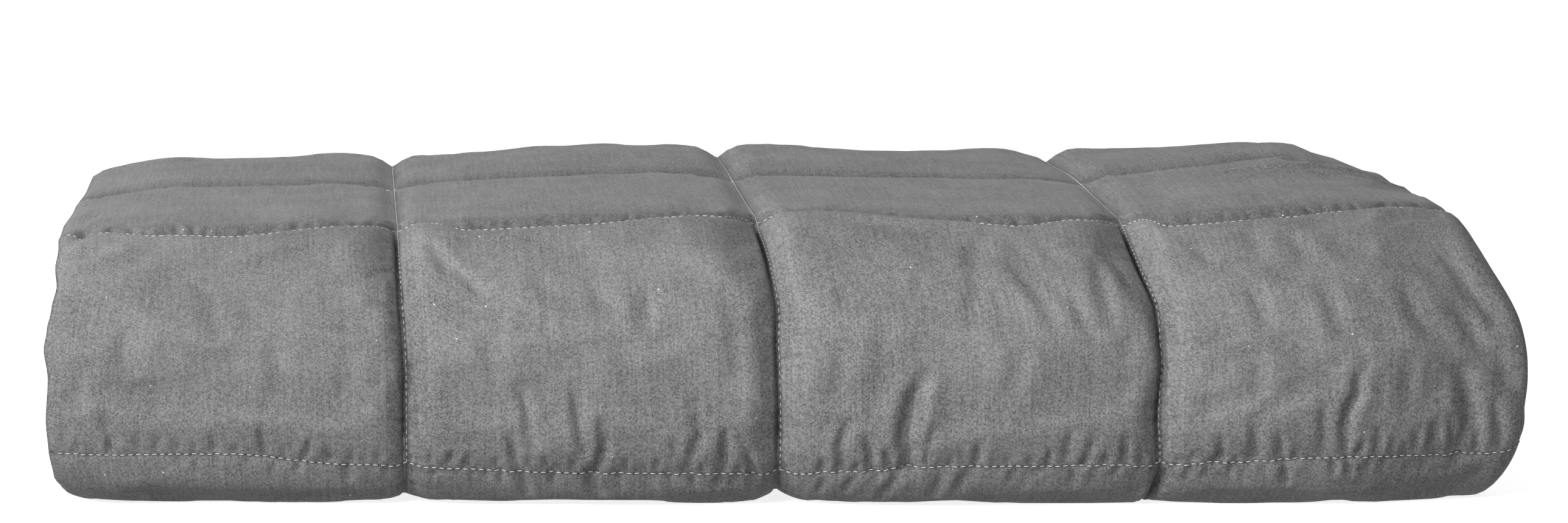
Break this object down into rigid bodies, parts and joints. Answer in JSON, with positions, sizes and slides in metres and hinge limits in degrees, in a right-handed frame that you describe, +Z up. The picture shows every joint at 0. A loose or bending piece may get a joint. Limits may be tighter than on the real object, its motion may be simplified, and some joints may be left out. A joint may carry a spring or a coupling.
{
  "type": "weighted blanket",
  "caption": "Weighted blanket quilted in squares, folded into a thick soft block with a half-round front, a fold at one end and open edges at the other.",
  "frame": {"origin": "centre of the bounding box, on the surface that the blanket lies on", "axes": "+X along the front toward the lengthwise fold, +Y to the back, +Z up"},
  "size_m": [0.6404, 0.388, 0.1308],
  "materials": {
    "quilting_cloth": "plain woven polyester, faint sheen"
  },
  "bodies": {
    "root": {"quilted_blanket": "quilting_cloth"}
  },
  "joints": []
}
